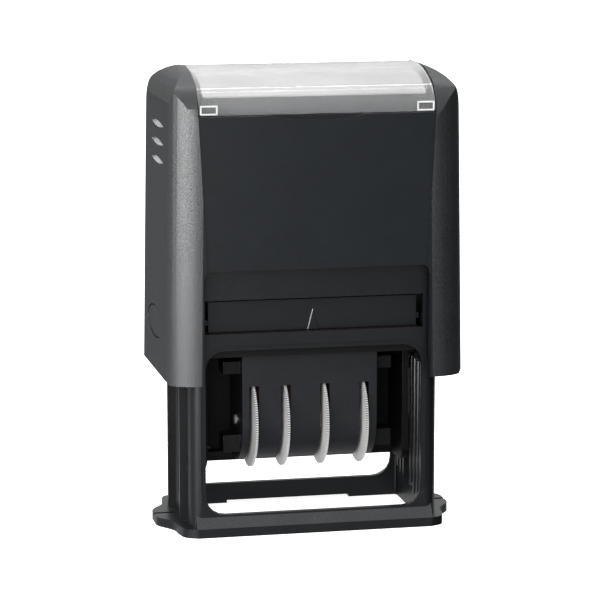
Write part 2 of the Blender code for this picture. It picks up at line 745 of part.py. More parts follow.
def make_drive_yoke(material):
    yoke = box("drive_yoke", (-ARM_OUTER, -ARM_HALF_WIDTH, YOKE_TOP - YOKE_BAR),
               (ARM_OUTER, ARM_HALF_WIDTH, YOKE_TOP))
    join(yoke, rod("spring_cup", "Z", (0, 0), BOSS_RADIUS,
                   YOKE_TOP - YOKE_BAR - 4 * SPRING_WIRE, YOKE_TOP - BITE, 24))
    taper_z = PIVOT_Z + 0.006
    for side in (-1, 1):
        outline = [(ARM_HALF_WIDTH, YOKE_TOP - 0.0004), (-ARM_HALF_WIDTH, YOKE_TOP - 0.0004)]
        outline += [(-ARM_HALF_WIDTH, taper_z)]
        outline += arc((0.0, PIVOT_Z), (0.0029, 0.0029), 180, 360, 10)
        outline += [(ARM_HALF_WIDTH, taper_z)]
        join(yoke, plate(f"arm_{side}", "X", [outline], *pair(side, ARM_INNER, ARM_OUTER)))
        peg = pair(side, HALF_CARRIER - CARRIER_WALL - GAP, ARM_OUTER - GAP)
        join(yoke, rod(f"pivot_peg_{side}", "X", (0.0, PIVOT_Z), PEG_RADIUS, *peg, 24))
    return finish(yoke, material)


# ---------------------------------------------------------------- print unit
def make_die_carrier(material):
    """Plate with side walls, a rear panel and a low cross bar that keeps clear of the wheels."""
    half = HALF_CARRIER
    plate_y = PLATE_DEPTH / 2 + 0.0001
    carrier = plate(
        "die_carrier", "Z", [rounded((-half, -plate_y), (half, plate_y), 0.0008, 2)],
        CARRIER_UNDER, CARRIER_TOP,
    )
    panel = rounded((-half + 0.0002, CARRIER_LOW + 0.0018), (half - 0.0002, CARRIER_UNDER + BITE), 0.0010, 3)
    join(carrier, plate("carrier_rear", "Y", [panel], CARRIER_BACK - PANEL_THICKNESS, CARRIER_BACK))
    bar_back = CARRIER_BACK - 0.0026
    bar = rounded((bar_back - 0.0018, CARRIER_LOW), (bar_back, CARRIER_LOW + 0.0024), 0.0007, 3)
    join(carrier, plate("cross_bar", "X", [bar], -half + 0.0003, half - 0.0003))
    for side in (-1, 1):
        profile = rounded((-0.0050, CARRIER_LOW + 0.0004), (CARRIER_BACK - 0.0004, CARRIER_UNDER + 0.0014),
                          0.0030, 4)
        join(carrier, plate(f"carrier_wall_{side}", "X", [profile],
                            *pair(side, half - CARRIER_WALL, half - 0.0001)))
        join(carrier, rod(f"guide_peg_{side}", "X", (0.0, PIVOT_Z - GUIDE_OFFSET), GUIDE_RADIUS,
                          *pair(side, half - BITE, HALF_FRAME - 0.0004), 20))
        cut(carrier, rod(f"pivot_hole_{side}", "X", (0.0, PIVOT_Z), PEG_RADIUS + 0.0002,
                         *pair(side, half - PAST, half + PAST), 24))
    cut(carrier, box("band_opening", (-HALF_HOOD + 0.0008, -0.0052, CARRIER_UNDER - PAST),
                     (HALF_HOOD - 0.0008, 0.0045, CARRIER_TOP + PAST)))
    return finish(carrier, material)


def make_plate_layer(name, low, high, shrink, material):
    """A flat layer on the carrier, with the window that the date bands show through."""
    half_x, half_y = PLATE_WIDTH / 2 - shrink, PLATE_DEPTH / 2 - shrink
    window_x = HALF_HOOD - 0.0018
    layer = plate(
        name, "Z",
        [
            rounded((-half_x, -half_y), (half_x, half_y), 0.0006, 2),
            rounded((-window_x, -DATE_WINDOW), (window_x, DATE_WINDOW), 0.0003, 2),
        ],
        low, high,
    )
    return finish(layer, material)


def former_circles():
    """Round edges of the bar that the bands turn over."""
    return [((side * FORMER_SPREAD, BRIDGE_Z - FORMER_EDGE), FORMER_EDGE) for side in (-1, 1)]


def make_band_former(material):
    half = HALF_HOOD - 0.0018
    foot_y = 0.0012
    points = [(-foot_y, FORMER_LOW), (foot_y, FORMER_LOW)]
    for centre, radius in former_circles():
        points += ring(centre, (radius, radius), 16)
    former = plate("band_former", "X", [hull(points)], -half, half)
    for side in (-1, 1):
        arm = pair(side, half - BITE, HALF_HOOD + 0.0030)
        join(former, box(f"former_foot_{side}", (arm[0], -foot_y - 0.0002, FORMER_LOW + BITE),
                         (arm[1], foot_y + 0.0002, CARRIER_UNDER - GAP)))
    return finish(former, material)


def hood_outline(inset):
    """The hood seen from the side: flat front and a round underside."""
    centre_y = HOOD_FRONT + HOOD_ROUND
    under = arc((centre_y, WHEEL_Z), (HOOD_ROUND - inset, HOOD_ROUND - inset), 180, 300, 12)
    top = CARRIER_UNDER - GAP
    return [(centre_y + 0.0052, top), (HOOD_FRONT + inset, top)] + under + [
        (centre_y + 0.0052, WHEEL_Z - 0.0055)]


def make_wheel_hood(material):
    hood = plate("wheel_hood", "X", [hood_outline(0.0)], -HALF_HOOD, HALF_HOOD)
    inner = [(u + (0.01 if u > 0.003 else 0), v + (0.01 if v > CARRIER_UNDER - 0.001 else 0))
             for u, v in hood_outline(HOOD_WALL)]
    cut(hood, plate("hood_hollow", "X", [inner], -HALF_HOOD + HOOD_WALL, HALF_HOOD - HOOD_WALL))
    slot = WHEEL_THICKNESS / 2 + 0.00045
    for name, x, _ in WHEELS:
        cut(hood, rod(f"{name}_slot", "X", (WHEEL_Y, WHEEL_Z), WHEEL_RADIUS + 2 * GAP,
                      x - slot, x + slot, 48))
    under = CARRIER_UNDER
    blocks = (("lower", WHEEL_Z - 0.0060, WHEEL_Z - 0.0025), ("upper", under - 0.0044, under - 0.0018))
    for side in (-1, 1):
        block_x = pair(side, HALF_HOOD - BITE, HALF_HOOD + 0.0036)
        for name, low, high in blocks:
            join(hood, box(f"{name}_block_{side}", (block_x[0], -0.0070, low), (block_x[1], -0.0022, high)))
        wall = pair(side, HALF_HOOD - PAST, HALF_HOOD + 0.001)
        cut(hood, box(f"former_notch_{side}", (wall[0], -0.0018, FORMER_LOW - GAP),
                      (wall[1], 0.0018, CARRIER_TOP)))
        cut(hood, rod(f"axle_hole_{side}", "X", (WHEEL_Y, WHEEL_Z), AXLE_RADIUS + 0.0002, *wall, 20))
    return finish(hood, material)


def make_wheel_axle(material):
    half = HALF_HOOD + BITE
    return finish(rod("wheel_axle", "X", (WHEEL_Y, WHEEL_Z), AXLE_RADIUS, -half, half, 20), material)


def tooth_outline():
    """A disc whose rim rises and falls once for each tooth."""
    points = []
    for i in range(2 * WHEEL_TEETH):
        angle = pi * i / WHEEL_TEETH
        radius = WHEEL_RADIUS - TOOTH_DEPTH * (i % 2)
        points.append((WHEEL_Y + radius * cos(angle), WHEEL_Z + radius * sin(angle)))
    return points


def make_date_wheel(name, x, drum, material):
    bore = ring((WHEEL_Y, WHEEL_Z), (AXLE_RADIUS + 0.0003,) * 2, 20)
    wheel = plate(f"{name}_wheel", "X", [tooth_outline(), bore],
                  x - WHEEL_THICKNESS / 2, x + WHEEL_THICKNESS / 2)
    side = 1 if drum > 0 else -1
    ends = sorted((x, x + side * WHEEL_THICKNESS / 2 + drum))
    join(wheel, plate(f"{name}_drum", "X",
                      [ring((WHEEL_Y, WHEEL_Z), (DRUM_RADIUS,) * 2, 32), bore], *ends))
    return finish(wheel, material)


def make_date_band(name, x, drum, material):
    """A rubber loop from the wheel's drum over the bar at the printing face."""
    def loop(offset):
        points = ring((WHEEL_Y, WHEEL_Z), (DRUM_RADIUS + offset,) * 2, 32)
        for centre, radius in former_circles():
            points += ring(centre, (radius + offset,) * 2, 12)
        return hull(points)

    side = 1 if drum > 0 else -1
    near = x + side * (WHEEL_THICKNESS / 2 + GAP)
    far = x + side * WHEEL_THICKNESS / 2 + drum - side * 0.0001
    ends = sorted((near, far))
    band = plate(f"{name}_band", "X", [loop(GAP + BAND_THICKNESS), loop(GAP)], *ends)
    return finish(band, material)


# ---------------------------------------------------------------- assembly
def hold(name, at, pieces, parent=None):
    """An empty on a joint's axis that carries its pieces."""
    pivot = bpy.data.objects.new(name, None)
    pivot.empty_display_size = 0.01
    PARTS.objects.link(pivot)
    pivot.location = at
    if parent:
        pivot.parent = parent
        pivot.location = [a - b for a, b in zip(at, parent.location)]
        if parent.parent:
            pivot.location = [a - b for a, b in zip(pivot.location, parent.parent.location)]
    for piece in pieces:
        piece.parent = pivot
        piece.matrix_parent_inverse = Matrix.Translation([-v for v in at])
    return pivot


def build():
    dark = plastic("frame_plastic", (0.022, 0.024, 0.026), 0.42)
    shell = plastic("casing_plastic", (0.028, 0.031, 0.034), 0.38)
    clear = plastic("clear_plastic", (0.80, 0.82, 0.84), 0.08, alpha=0.35)
    card = plastic("card", (0.60, 0.61, 0.62), 0.60)
    black = plastic("drawer_plastic", (0.016, 0.017, 0.019), 0.35)
    felt = plastic("inked_felt", (0.02, 0.02, 0.035), 0.90)
    steel = plastic("spring_steel", (0.55, 0.56, 0.58), 0.30, metallic=1.0)
    white = plastic("wheel_plastic", (0.78, 0.79, 0.79), 0.45)
    rubber = plastic("band_rubber", (0.30, 0.05, 0.04), 0.70)
    foam = plastic("foam", (0.55, 0.52, 0.45), 0.95)

    hold("frame_body", (0, 0, 0), [make_base_frame(dark), make_return_spring(steel)])
    hold("drawer_body", (0, 0, DRAWER_LOW), [make_ink_pad_tray(black), make_ink_pad_felt(felt)])
    casing = hold("casing_body", (0, 0, CASING_LOW),
                  [make_outer_casing(shell), make_index_card(card), make_drive_yoke(dark)])
    hold("cover_body", (0, 0, COVER_EDGE), [make_index_cover(clear)], casing)
    for side in (-1, 1):
        hold(f"button_body_{side}", (side * BUTTON_FACE, 0, BUTTON_Z),
             [make_lock_button(side, shell)], casing)
    unit = hold("print_unit_body", (0, 0, PIVOT_Z), [
        make_die_carrier(dark),
        make_wheel_hood(dark),
        make_wheel_axle(steel),
        make_band_former(dark),
        make_plate_layer("plate_cushion", CUSHION_TOP - CUSHION_THICKNESS, CUSHION_TOP, 0.0003, foam),
        make_plate_layer("text_plate", DIE_Z - RUBBER_THICKNESS, DIE_Z, 0.0, rubber),
    ] + [make_date_band(name, x, drum, rubber) for name, x, drum in WHEELS], casing)
    for name, x, drum in WHEELS:
        hold(f"{name}_wheel_body", (x, WHEEL_Y, WHEEL_Z), [make_date_wheel(name, x, drum, white)], unit)


build()
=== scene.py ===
from math import asin, atan2, cos, degrees, hypot, pi, radians, sin, sqrt

import bmesh
import bpy
from mathutils import Matrix, Vector


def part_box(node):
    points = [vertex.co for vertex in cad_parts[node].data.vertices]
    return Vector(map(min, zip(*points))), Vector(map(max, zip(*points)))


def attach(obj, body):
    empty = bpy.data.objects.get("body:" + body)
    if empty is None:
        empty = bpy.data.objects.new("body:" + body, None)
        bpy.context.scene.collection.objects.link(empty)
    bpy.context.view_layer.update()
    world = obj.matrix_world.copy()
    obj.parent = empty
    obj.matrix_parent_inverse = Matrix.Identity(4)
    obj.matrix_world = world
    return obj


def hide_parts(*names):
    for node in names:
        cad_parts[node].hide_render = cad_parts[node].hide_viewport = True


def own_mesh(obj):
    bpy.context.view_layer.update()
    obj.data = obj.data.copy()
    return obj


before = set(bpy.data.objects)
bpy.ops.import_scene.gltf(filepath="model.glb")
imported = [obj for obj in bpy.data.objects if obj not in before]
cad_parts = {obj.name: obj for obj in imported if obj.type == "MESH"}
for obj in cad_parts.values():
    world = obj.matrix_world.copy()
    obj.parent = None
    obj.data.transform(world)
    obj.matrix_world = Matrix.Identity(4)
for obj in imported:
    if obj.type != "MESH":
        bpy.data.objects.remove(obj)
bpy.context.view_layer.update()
MM = 0.001
WHEELS = ("month", "day_tens", "day_units", "year")

# ---------------------------------------------------------------- measures read from the frame
CASING_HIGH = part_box("outer_casing")[1]
COVER_LOW, COVER_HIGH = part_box("index_cover")
TRAY_LOW, TRAY_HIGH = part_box("ink_pad_tray")
CARD_LOW, CARD_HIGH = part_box("index_card")
SPRING_LOW, SPRING_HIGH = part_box("return_spring")
PLATE_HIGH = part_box("text_plate")[1]
FACE_Y = COVER_HIGH.y  # the plane of the cover's face and of the front panel

# ---------------------------------------------------------------- measures of the finished pieces
# cheeks of the casing, beside the cover
CHEEK_START = COVER_LOW.z + 0.5 * MM  # above this the shoulders blend into the cheeks
CHEEK_INNER_X = COVER_HIGH.x + 0.6 * MM
CHEEK_CREASE = 26  # degrees: an edge of the cheeks that turns less is smooth

# leaf marks sunk into both cheeks, painted bright as a highlight
MARK_INNER_X = 28.0 * MM
MARK_MIDDLE_Y, MARK_HALF_Y = -1.5 * MM, 7.6 * MM
MARK_LOW_Z, MARK_HIGH_Z = 76.0 * MM, 85.6 * MM
FACES_SIDEWAYS = 0.99  # the casing's sides lean a little
SQUARE_ON = 0.99995  # only a mark's flat floor faces so truly sideways

# roof: one wide dome with a tight crest along its front and its back
COVER_PROUD = 0.15 * MM  # the cover over the casing's highest point
CREST_RADIUS, CREST_STEPS = 6.2 * MM, 14
DOME_RADIUS, DOME_STEPS = 33.0 * MM, 30
COVER_WALL, CARD_WALL = 1.4 * MM, 0.4 * MM
CARD_INSET = 1.7 * MM  # the card's outside under the cover's outside
CARD_RAISED = 2.1 * MM  # the card starts above the cover's clip frames

# clip frames on the cover's face
CLIP_WIRE = 0.34 * MM
CLIP_INNER, CLIP_OUTER = 3.7 * MM, 0.1 * MM  # in from the cover's ends
CLIP_LOW, CLIP_HIGH = 0.05 * MM, 2.0 * MM  # up from the cover's foot
CLIP_SUNK, CLIP_PROUD = 0.12 * MM, 0.14 * MM

# date wheels: radii, and sizes of the toothed disc
TEETH = 126
BORE_RADIUS, DRUM_RADIUS, DRUM_STEPS = 1.3 * MM, 4.0 * MM, 64
DISC_HALF = 0.36 * MM  # half of the disc's thickness
DISC_INSET = 0.55 * MM  # the disc's middle from the wheel's end
TOOTH_HEIGHT, TOOTH_TAPER = 0.30 * MM, 0.03 * MM
RIM_FALL, RIM_DRAFT = 0.8 * MM, 0.10 * MM  # how the disc thins towards its rim

# print unit, frame and drawer
END_BLOCK_X = 14.4 * MM  # the hood's end blocks lie outside this
STOP_LOW, STOP_HIGH = (-19.2 * MM, 7.4 * MM, 10.7 * MM), (-17.5 * MM, 8.8 * MM, 14.2 * MM)
RIB_INNER_X, RIB_OUTER_X, RIB_TOP = 23.3 * MM, 24.3 * MM, 34.0 * MM
RIBS = ((-10.6, 3.0, 0.7), (-8.4, 2.4, 0.9), (-5.6, 4.6, 0.8), (-2.6, 6.4, 0.7))  # front, foot, width in mm
TICK_LEAN, TICK_Y, TICK_Z = radians(-33), -15.28 * MM, 2.25 * MM
TICK_HALF_X, TICK_HALF_Y, TICK_LONG = 0.12 * MM, 0.10 * MM, 1.6 * MM
DRAWER_FACE = 1.6 * MM  # thickness of the drawer's front
ARROW_HALF, ARROW_EDGE_LEAN = 2.2 * MM, radians(14)
ARROW_DROP, FACE_DROP = 1.0 * MM, 0.26 * MM


# ---------------------------------------------------------------- camera, light and floor
def aim(thing, place, target):
    thing.location = place
    thing.rotation_euler = (Vector(target) - Vector(place)).to_track_quat("-Z", "Y").to_euler()


def make_camera():
    azimuth, elevation, distance = radians(-12.03), radians(10.04), 0.5878
    target = Vector((-0.0001, 0.0, 0.0463))
    back = Vector((sin(azimuth) * cos(elevation), -cos(azimuth) * cos(elevation), sin(elevation)))
    lens = bpy.data.cameras.new("camera")
    lens.lens = 167.9
    lens.sensor_width = 36.0
    lens.clip_start = 0.01
    camera = bpy.data.objects.new("camera", lens)
    bpy.context.scene.collection.objects.link(camera)
    aim(camera, target + back * distance, target)
    bpy.context.scene.camera = camera


def make_light(name, place, size, power, lights_matt=True):
    """A rectangular softbox turned to the stamp. One that doesn't light matt surfaces only shows as gloss."""
    light = bpy.data.lights.new(name, "AREA")
    light.shape = "RECTANGLE"
    light.size, light.size_y = size
    light.energy = power
    made = bpy.data.objects.new(name, light)
    bpy.context.scene.collection.objects.link(made)
    stamp_middle = (0.0, 0.0, 0.05)
    aim(made, place, stamp_middle)
    made.visible_diffuse = lights_matt
    made.visible_camera = False


def make_flag(name, place, width, height, turn, colour):
    """An upright card that only shows in reflections."""
    bm = bmesh.new()
    bmesh.ops.create_grid(bm, x_segments=1, y_segments=1, size=0.5)
    upright = Matrix.Translation(place) @ Matrix.Rotation(turn, 4, "Z") @ Matrix.Rotation(pi / 2, 4, "X")
    bmesh.ops.transform(bm, matrix=upright @ Matrix.Diagonal((width, height, 1.0, 1.0)), verts=bm.verts)
    flag = piece_from(name, bm, [matt_paint(f"{name}_card", colour)])
    flag.visible_camera = flag.visible_diffuse = flag.visible_shadow = False
    return flag


def make_sky():
    """A white studio, brightest overhead and on the left."""
    world = bpy.data.worlds.new("studio")
    bpy.context.scene.world = world
    world.use_nodes = True
    tree = world.node_tree
    sky = tree.nodes["Background"]
    sky.inputs["Color"].default_value = (1.0, 1.0, 1.0, 1.0)
    parts = add(tree, "ShaderNodeSeparateXYZ", Vector=add(tree, "ShaderNodeTexCoord").outputs["Generated"])
    height = add(tree, "ShaderNodeMapRange", {"To Min": 0.66, "To Max": 1.8}, Value=parts.outputs["Z"])
    side = add(tree, "ShaderNodeMapRange", {"From Min": -1.0, "To Min": 1.25, "To Max": 0.75},
               Value=parts.outputs["X"])
    both = add(tree, "ShaderNodeMath", {"operation": "MULTIPLY"})
    tree.links.new(both.inputs[0], height.outputs["Result"])
    tree.links.new(both.inputs[1], side.outputs["Result"])
    tree.links.new(sky.inputs["Strength"], both.outputs["Value"])


def make_studio():
    """Three lights, a glowing white floor, and two cards that the glossy sides reflect."""
    bpy.context.scene.view_settings.view_transform = "Standard"
    make_sky()
    make_light("left_softbox", (-0.165, -0.225, 0.095), size=(0.24, 0.19), power=2.3, lights_matt=False)
    make_light("upper_left_softbox", (-0.34, -0.16, 0.36), size=(0.20, 0.20), power=3.0, lights_matt=False)
    make_light("top_strip", (0.0, 0.12, 0.57), size=(0.60, 0.03), power=1.1)
    bm = bmesh.new()
    bmesh.ops.create_grid(bm, x_segments=1, y_segments=1, size=6.0)
    floor = piece_from("studio_floor", bm, [matt_paint("white_floor", "#fafafa", glow=0.9)])
    floor.visible_glossy = floor.visible_diffuse = False
    right = make_flag("right_flag", (0.24, -0.10, 0.10), width=0.5, height=0.5, turn=pi / 2, colour="#050505")
    behind = make_flag("left_rear_flag", (-0.17, 0.16, 0.10), width=0.26, height=0.22, turn=0.0,
                       colour="#9a9a9a")


# ---------------------------------------------------------------- material makers
def srgb(code):
    """A hex colour as linear light."""
    parts = [int(code[i:i + 2], 16) / 255 for i in (1, 3, 5)]
    return tuple(c / 12.92 if c <= 0.04045 else ((c + 0.055) / 1.055) ** 2.4 for c in parts) + (1.0,)


def add(tree, kind, settings=None, **links):
    """Adds a node with its settings, and links its inputs from other nodes' sockets."""
    node = tree.nodes.new(kind)
    for name, value in (settings or {}).items():
        if name in node.inputs:
            node.inputs[name].default_value = value
        else:
            setattr(node, name, value)
    for name, socket in links.items():
        tree.links.new(node.inputs[name.replace("_", " ")], socket)
    return node


def new_material(name):
    made = bpy.data.materials.new(name)
    made.use_nodes = True
    tree = made.node_tree
    return made, tree, tree.nodes["Principled BSDF"]


def matt_paint(name, colour, glow=0.0):
    """Plain paint of the studio's floor and its reflected cards."""
    made, _, shader = new_material(name)
    shader.inputs["Base Color"].default_value = srgb(colour)
    shader.inputs["Roughness"].default_value = 0.9
    shader.inputs["Emission Color"].default_value = srgb(colour)
    shader.inputs["Emission Strength"].default_value = glow
    return made


def mottled(tree, shader, colour, other, scale_mm, detail=3.0):
    """Base colour that drifts between two tones. Gives the place socket for further patterns."""
    place = add(tree, "ShaderNodeTexCoord").outputs["Object"]
    slow = add(tree, "ShaderNodeTexNoise", {"Scale": 1.0 / (scale_mm * MM), "Detail": detail}, Vector=place)
    tone = add(tree, "ShaderNodeMapRange", {"From Min": 0.35, "From Max": 0.65}, Value=slow.outputs["Fac"])
    mix = add(tree, "ShaderNodeMix", {"data_type": "RGBA"})
    # the mix node's colour sockets share their names with others, so they go by number
    factor, first, second, result = mix.inputs[0], mix.inputs[6], mix.inputs[7], mix.outputs[2]
    first.default_value = srgb(colour)
    second.default_value = srgb(other)
    tree.links.new(factor, tone.outputs["Result"])
    tree.links.new(shader.inputs["Base Color"], result)
    return place


def grained(name, colour, other, roughness, grain_mm, depth_mm, gloss=0.22, spread=0.06):
    """A surface with a fine grain that breaks up its gloss, and slow changes of tone 9 mm across."""
    made, tree, shader = new_material(name)
    place = mottled(tree, shader, colour, other, scale_mm=9.0)
    grain = add(tree, "ShaderNodeTexNoise", {"Scale": 1.0 / (grain_mm * MM), "Detail": 2.0}, Vector=place)
    rough = add(tree, "ShaderNodeMapRange", {
        "From Min": 0.3, "From Max": 0.7, "To Min": roughness - spread, "To Max": roughness + spread,
    }, Value=grain.outputs["Fac"])
    bump = add(tree, "ShaderNodeBump", {"Distance": depth_mm * MM, "Strength": 1.0},
               Height=grain.outputs["Fac"])
    tree.links.new(shader.inputs["Roughness"], rough.outputs["Result"])
    tree.links.new(shader.inputs["Normal"], bump.outputs["Normal"])
    shader.inputs["Specular IOR Level"].default_value = gloss
    return made


def clear_styrene():
    """Clear polystyrene, moulded and polished, with a slightly milky body that takes up light."""
    made, tree, shader = new_material("clear_polystyrene")
    place = mottled(tree, shader, "#e8e8e8", "#efefef", scale_mm=14.0)
    # a faint haze in patches about 5.5 mm across
    haze = add(tree, "ShaderNodeTexNoise", {"Scale": 180.0, "Detail": 3.0}, Vector=place)
    rough = add(tree, "ShaderNodeMapRange", {"To Min": 0.10, "To Max": 0.14}, Value=haze.outputs["Fac"])
    tree.links.new(shader.inputs["Roughness"], rough.outputs["Result"])
    shader.inputs["Transmission Weight"].default_value = 0.91
    # below polystyrene's own 1.59, so that the card under the bent sheet stays where it lies
    shader.inputs["IOR"].default_value = 1.33
    return made


def card_stock():
    """Coated card: pale grey, with short fibres in a mottle drawn 0.6 mm coarse, so that it shows."""
    made, tree, shader = new_material("coated_card")
    mottled(tree, shader, "#a6a6a5", "#adadac", scale_mm=0.6, detail=4.0)
    shader.inputs["Roughness"].default_value = 0.55
    return made


# ---------------------------------------------------------------- piece makers
def piece_from(name, bm, materials, smooth_angle=30):
    """An object from a bmesh, smooth but for the edges that turn more than an angle in degrees."""
    for face in bm.faces:
        face.smooth = True
    for edge in bm.edges:
        if len(edge.link_faces) == 2 and edge.calc_face_angle(0.0) > radians(smooth_angle):
            edge.smooth = False
    return linked(name, bm, materials)


def linked(name, bm, materials):
    mesh = bpy.data.meshes.new(name)
    bm.to_mesh(mesh)
    bm.free()
    for material in materials:
        mesh.materials.append(material)
    made = bpy.data.objects.new(name, mesh)
    bpy.context.scene.collection.objects.link(made)
    return made


def weighted(made):
    """Flat faces keep flat shading beside their rounded edges."""
    normals = made.modifiers.new("normals", "WEIGHTED_NORMAL")
    normals.weight = 80
    normals.keep_sharp = True
    return made


def rounded(made, edge_mm, segments, limit_method):
    """Rounds a piece's edges, and gives the rounding the piece's last material."""
    bevel = made.modifiers.new("edges", "BEVEL")
    bevel.width = edge_mm * MM
    bevel.segments = segments
    bevel.limit_method = limit_method
    bevel.material = len(made.data.materials) - 1
    return bevel


def refined(node, name, materials, edge_mm=0.12, segments=2, limit=32, soft=None, paint=None, shape=None):
    """A CAD node merged, with the edges that turn more than the limit in degrees rounded.

    soft(edge, turn) keeps an edge smooth, paint(face) gives a face's material, shape(bm) moves vertices.
    """
    bm = bmesh.new()
    bm.from_mesh(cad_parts[node].data)
    bmesh.ops.remove_doubles(bm, verts=bm.verts, dist=0.002 * MM)
    if shape:
        shape(bm)
    weight = bm.edges.layers.float.new("bevel_weight_edge")
    for edge in bm.edges:
        turn = degrees(edge.calc_face_angle(0.0)) if len(edge.link_faces) == 2 else 0.0
        sharp = turn > limit and not (soft and soft(edge, turn))
        edge.smooth = not sharp
        edge[weight] = 1.0 if sharp else 0.0
    for face in bm.faces:
        face.smooth = True
        face.material_index = paint(face) if paint else 0
    made = linked(name, bm, materials)
    rounded(made, edge_mm, segments, "WEIGHT")
    return weighted(made)


def settle(piece, body, slot, *nodes):
    """The piece rides its body and stands for any CAD nodes named; the slot is not used."""
    if nodes:
        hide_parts(*nodes)
    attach(piece, body)
    return piece


def span(side, inner, outer):
    """Both ends of a stretch on one side of the middle, lowest first."""
    return sorted((side * inner, side * outer))


def spun_ring(bm, outline, centre, steps):
    """Turns a closed outline of (x, radius) points right round an axis parallel to X."""
    verts = [bm.verts.new((x, centre.y + radius, centre.z)) for x, radius in outline]
    edges = [bm.edges.new((a, b)) for a, b in zip(verts, verts[1:] + verts[:1])]
    bmesh.ops.spin(bm, geom=verts + edges, cent=centre, axis=(1, 0, 0), angle=2 * pi, steps=steps,
                   use_merge=True)


def bar(bm, low, high, round_mm=0.2, place=Matrix()):
    """A bar with rounded edges between two corners, then put in its place."""
    made = bmesh.ops.create_cube(bm, size=1.0)["verts"]
    size = [b - a for a, b in zip(low, high)]
    middle = [(a + b) / 2 for a, b in zip(low, high)]
    stretched = Matrix.Translation(middle) @ Matrix.Diagonal((*size, 1.0))
    bmesh.ops.transform(bm, matrix=place @ stretched, verts=made)
    edges = list({edge for vert in made for edge in vert.link_edges})
    most = min(size) * 0.45  # leaves a flat strip on the thinnest side
    bmesh.ops.bevel(bm, geom=edges, offset=min(round_mm * MM, most), segments=3, affect="EDGES",
                    profile=0.5, material=-1)


def stretched_up(bm, vert, rise):
    """A straight line up from a vertex, and the line's new end."""
    end = bmesh.ops.extrude_vert_indiv(bm, verts=[vert])["verts"][0]
    end.co.z += rise
    return end


def last_vert(run):
    return next(item for item in run["geom_last"] if isinstance(item, bmesh.types.BMVert))


# ---------------------------------------------------------------- casing
def casing_paint(face):
    """0: grain of the shoulders, 1: smoother front panel and sides, 2: leaf marks painted bright as a
    highlight.
    """
    middle, normal = face.calc_center_median(), face.normal
    in_mark = (abs(middle.x) > MARK_INNER_X and abs(middle.y - MARK_MIDDLE_Y) < MARK_HALF_Y
               and MARK_LOW_Z < middle.z < MARK_HIGH_Z)
    if in_mark and not FACES_SIDEWAYS < abs(normal.x) < SQUARE_ON:
        return 2
    on_front_or_back = abs(normal.y) > 0.999
    under_cover = abs(middle.x) < COVER_HIGH.x and middle.z > COVER_LOW.z
    return 1 if on_front_or_back or abs(normal.x) > FACES_SIDEWAYS or under_cover else 0


def casing_blend(edge, turn):
    """The cheeks flow into the shoulders and the roof without a crease."""
    low = min(vert.co.z for vert in edge.verts)
    inner = min(abs(vert.co.x) for vert in edge.verts)
    return low > CHEEK_START and inner > CHEEK_INNER_X and turn < CHEEK_CREASE


def make_casing():
    # the casing's rounded edges are painted lighter as a highlight, and its leaf marks painted bright
    casing = refined("outer_casing", "casing_shell", [GRAINED, PANEL, HIGHLIGHT_MARK, CASING_EDGE_HIGHLIGHT],
                     edge_mm=0.16, segments=3, limit=24, soft=casing_blend, paint=casing_paint)
    settle(casing, "casing", "casing_plastic", "outer_casing")


def roof_sheet(name, inset, wall, low, half_width, materials):
    """A bent sheet over the roof, with its wall inwards and its foot at a height.

    Its line is spun over the front crest, the dome and the rear crest, then drawn out sideways.
    """
    crest = CREST_RADIUS - inset
    crest_y = FACE_Y - CREST_RADIUS
    dome_z = CASING_HIGH.z + COVER_PROUD - DOME_RADIUS
    between = DOME_RADIUS - CREST_RADIUS  # from the dome's centre to a crest's
    crest_z = dome_z + sqrt(between ** 2 - crest_y ** 2)
    lean = asin(crest_y / between)
    start = asin(max(low - crest_z, 0.0) / crest)
    upright = max(crest_z - low, 0.0)
    bm = bmesh.new()
    end = bm.verts.new((-half_width, -crest_y - crest * cos(start), low))
    if upright:
        end = stretched_up(bm, end, upright)
    for cent, angle, steps in (
        ((0, -crest_y, crest_z), pi / 2 - start - lean, CREST_STEPS),
        ((0, 0, dome_z), 2 * lean, DOME_STEPS),
        ((0, crest_y, crest_z), pi / 2 - start - lean, CREST_STEPS),
    ):
        end = last_vert(bmesh.ops.spin(bm, geom=[end], cent=cent, axis=(1, 0, 0), angle=-angle, steps=steps))
    if upright:
        stretched_up(bm, end, -upright)
    drawn = bmesh.ops.extrude_edge_only(bm, edges=list(bm.edges))["geom"]
    bmesh.ops.translate(bm, vec=(2 * half_width, 0, 0),
                        verts=[item for item in drawn if isinstance(item, bmesh.types.BMVert)])
    bmesh.ops.recalc_face_normals(bm, faces=bm.faces)
    if max(bm.faces, key=lambda face: face.calc_center_median().z).normal.z < 0:
        bmesh.ops.reverse_faces(bm, faces=bm.faces)
    made = piece_from(name, bm, materials, smooth_angle=60)
    thickness = made.modifiers.new("wall", "SOLIDIFY")
    thickness.thickness = wall
    thickness.offset = -1.0
    thickness.use_even_offset = True
    return made


